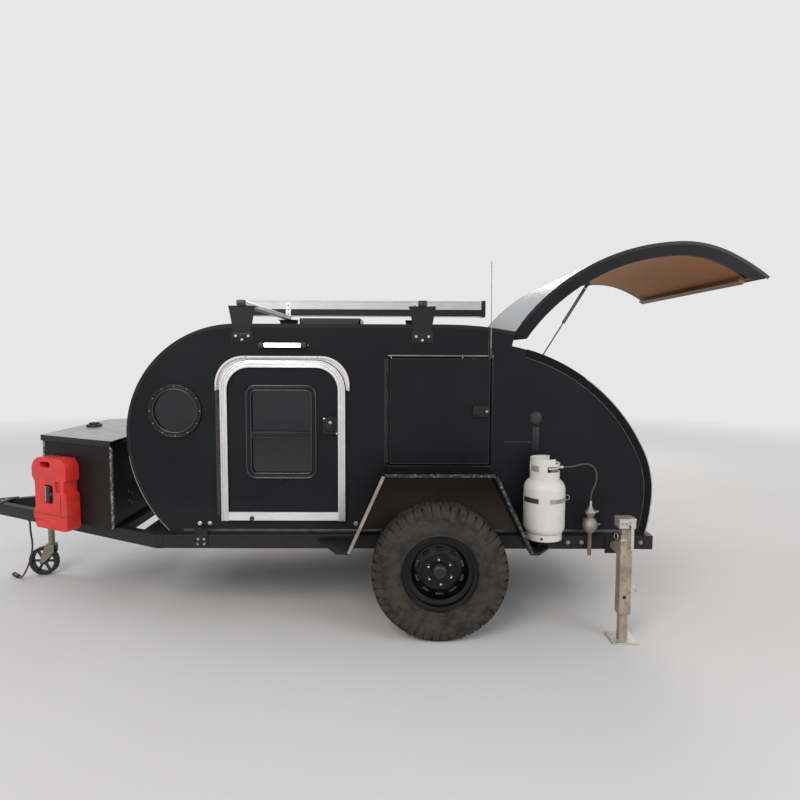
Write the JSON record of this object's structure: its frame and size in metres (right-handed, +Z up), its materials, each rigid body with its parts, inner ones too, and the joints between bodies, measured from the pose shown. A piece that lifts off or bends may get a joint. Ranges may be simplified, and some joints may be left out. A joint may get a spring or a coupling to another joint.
{
  "type": "teardrop camping trailer",
  "caption": "Teardrop camping trailer with doors, a lifting rear hatch, tongue toolbox, jockey wheel, roof bars and rear legs.",
  "frame": {"origin": "on the ground under the middle of the trailer's overall length and width, hatch open", "axes": "+X towards the rear, +Y towards the trailer's right side, +Z up"},
  "size_m": [5.2186, 2.11, 2.2311],
  "materials": {
    "frame_black": "satin black paint",
    "axle_steel": "semi-gloss black paint",
    "spring_steel": "dull black paint",
    "coupler_zinc": "black paint, worn at the mouth",
    "body_black": "satin black sheet over board",
    "roof_black": "satin black sheet over board",
    "floor_board": "black sealed board",
    "birch_ply": "clear satin varnish",
    "hatch_grey": "satin grey sheet over ribs",
    "hatch_board": "satin varnish",
    "door_silver": "satin anodised",
    "door_black": "satin black",
    "glass_dark": "dark tint",
    "bright_trim": "polished",
    "tread_plate": "black diamond plate",
    "lid_plate": "bright diamond plate",
    "rubber_black": "matt",
    "tyre_black": "matt",
    "wheel_black": "gloss black paint",
    "bottle_white": "off-white paint",
    "fitting_brass": "satin",
    "can_red": "satin red",
    "strut_black": "gloss black paint",
    "rod_chrome": "polished",
    "bar_silver": "satin anodised",
    "awning_case": "satin grey",
    "vent_white": "matt white",
    "lamp_lens": "clear warm lens",
    "lens_red": "clear red lens",
    "jack_khaki": "khaki zinc, worn",
    "jack_black": "satin black paint"
  },
  "bodies": {
    "trailer": {"chassis_rails": "frame_black", "crossmembers": "frame_black", "coupler": "coupler_zinc", "axle": "axle_steel", "leaf_springs": "spring_steel", "cabin_floor": "floor_board", "roof_shell": "roof_black", "galley_bulkhead": "birch_ply", "galley_cabinet": "birch_ply", "door_frames": "door_silver", "portholes": "bright_trim", "porthole_glass": "glass_dark", "fenders": "tread_plate", "gas_shelf": "frame_black", "gas_bottle": "bottle_white", "gas_regulator": "fitting_brass", "gas_hose": "rubber_black", "toolbox_floor": "tread_plate", "toolbox_ends": "tread_plate", "toolbox_sides": "tread_plate", "jerry_can": "can_red", "rack_brackets": "bar_silver", "crossbars": "bar_silver", "awning": "awning_case", "roof_vent": "vent_white", "porch_lights": "lamp_lens", "tail_lamps": "lens_red", "jack_tube": "jack_khaki", "wiring_cord": "rubber_black", "wiring_plug": "rubber_black", "wiring_gland": "rubber_black", "strut_studs": "rod_chrome", "side_wall_left": "body_black", "side_wall_right": "body_black"},
    "hatch": {"hatch": "hatch_grey", "hatch_lining": "hatch_board"},
    "toolbox_lid": {"toolbox_lid": "lid_plate", "lid_skirt": "lid_plate"},
    "vent_lid": {"vent_lid": "vent_white"},
    "jack_leg": {"jack_leg": "jack_khaki"},
    "jockey_fork": {"jockey_fork": "jack_khaki"},
    "jockey_wheel": {"jockey_wheel": "rubber_black"},
    "wheel_left": {"tyre_left": "tyre_black", "rim_left": "wheel_black"},
    "entry_door_left": {"entry_door_left": "door_black", "door_glass_left": "glass_dark"},
    "storage_door_left": {"storage_door_left": "body_black"},
    "strut_tube_left": {"strut_tube_left": "strut_black"},
    "strut_rod_left": {"strut_rod_left": "rod_chrome"},
    "rear_jack_left": {"rear_jack_left": "jack_black"},
    "rear_leg_left": {"rear_leg_left": "jack_khaki"},
    "wheel_right": {"tyre_right": "tyre_black", "rim_right": "wheel_black"},
    "entry_door_right": {"entry_door_right": "door_black", "door_glass_right": "glass_dark"},
    "storage_door_right": {"storage_door_right": "body_black"},
    "strut_tube_right": {"strut_tube_right": "strut_black"},
    "strut_rod_right": {"strut_rod_right": "rod_chrome"},
    "rear_jack_right": {"rear_jack_right": "jack_black"},
    "rear_leg_right": {"rear_leg_right": "jack_khaki"}
  },
  "joints": [
    {"name": "hatch_lift", "type": "hinge", "parent": "trailer", "child": "hatch", "pos_m": [1.15844, 0, 1.71442], "axis": [0, 1, 0], "range_deg": [0, 67]},
    {"name": "toolbox_lid_hinge", "type": "hinge", "parent": "trailer", "child": "toolbox_lid", "pos_m": [-1.19576, 0, 1.046], "axis": [0, 1, 0], "range_deg": [0, 85]},
    {"name": "vent_lid_hinge", "type": "hinge", "parent": "trailer", "child": "vent_lid", "pos_m": [0.24424, 0, 1.767], "axis": [0, 1, 0], "range_deg": [0, 60]},
    {"name": "jockey_lift", "type": "slide", "parent": "trailer", "child": "jack_leg", "axis": [0, 0, 1], "range_m": [-0.08, 0.2]},
    {"name": "jockey_swivel", "type": "hinge", "parent": "jack_leg", "child": "jockey_fork", "pos_m": [-1.98126, 0, 0.224], "axis": [0, 0, 1], "continuous": true},
    {"name": "jockey_wheel_spin", "type": "hinge", "parent": "jockey_fork", "child": "jockey_wheel", "pos_m": [-2.03926, 0, 0.1], "axis": [0, 1, 0], "continuous": true},
    {"name": "wheel_left_spin", "type": "hinge", "parent": "trailer", "child": "wheel_left", "pos_m": [0.72174, -0.94, 0.381], "axis": [0, 1, 0], "continuous": true},
    {"name": "entry_door_left_hinge", "type": "hinge", "parent": "trailer", "child": "entry_door_left", "pos_m": [-0.54526, -0.786, 1.08], "axis": [0, 0, -1], "range_deg": [0, 100]},
    {"name": "storage_door_left_hinge", "type": "hinge", "parent": "trailer", "child": "storage_door_left", "pos_m": [0.42924, -0.768, 1.25], "axis": [0, 0, -1], "range_deg": [0, 100]},
    {"name": "strut_tube_left_turn", "type": "hinge", "parent": "hatch", "child": "strut_tube_left", "pos_m": [1.58624, -0.7, 1.9934], "axis": [0, 1, 0], "range_deg": [0, 16.54]},
    {"name": "strut_rod_left_slide", "type": "slide", "parent": "strut_tube_left", "child": "strut_rod_left", "axis": [0.5213, 0, 0.8534], "range_m": [0, 0.2269]},
    {"name": "rear_jack_left_swing", "type": "hinge", "parent": "trailer", "child": "rear_jack_left", "pos_m": [1.74374, -0.98, 0.486], "axis": [0, -1, 0], "range_deg": [0, 90]},
    {"name": "rear_leg_left_slide", "type": "slide", "parent": "rear_jack_left", "child": "rear_leg_left", "axis": [0, 0, 1], "range_m": [-0.1, 0.13]},
    {"name": "wheel_right_spin", "type": "hinge", "parent": "trailer", "child": "wheel_right", "pos_m": [0.72174, 0.94, 0.381], "axis": [0, 1, 0], "continuous": true},
    {"name": "entry_door_right_hinge", "type": "hinge", "parent": "trailer", "child": "entry_door_right", "pos_m": [-0.54526, 0.786, 1.08], "axis": [0, 0, 1], "range_deg": [0, 100]},
    {"name": "storage_door_right_hinge", "type": "hinge", "parent": "trailer", "child": "storage_door_right", "pos_m": [0.42924, 0.768, 1.25], "axis": [0, 0, 1], "range_deg": [0, 100]},
    {"name": "strut_tube_right_turn", "type": "hinge", "parent": "hatch", "child": "strut_tube_right", "pos_m": [1.58624, 0.7, 1.9934], "axis": [0, 1, 0], "range_deg": [0, 16.54]},
    {"name": "strut_rod_right_slide", "type": "slide", "parent": "strut_tube_right", "child": "strut_rod_right", "axis": [0.5213, 0, 0.8534], "range_m": [0, 0.2269]},
    {"name": "rear_jack_right_swing", "type": "hinge", "parent": "trailer", "child": "rear_jack_right", "pos_m": [1.74374, 0.98, 0.486], "axis": [0, -1, 0], "range_deg": [0, 90]},
    {"name": "rear_leg_right_slide", "type": "slide", "parent": "rear_jack_right", "child": "rear_leg_right", "axis": [0, 0, 1], "range_m": [-0.1, 0.13]}
  ],
  "couplings": [
    {"joint": "strut_tube_left_turn", "follows": "hatch_lift", "ratio": 0.24233},
    {"joint": "strut_rod_left_slide", "follows": "hatch_lift", "m_per_rad": 0.19237},
    {"joint": "strut_tube_right_turn", "follows": "hatch_lift", "ratio": 0.24233},
    {"joint": "strut_rod_right_slide", "follows": "hatch_lift", "m_per_rad": 0.19237}
  ]
}
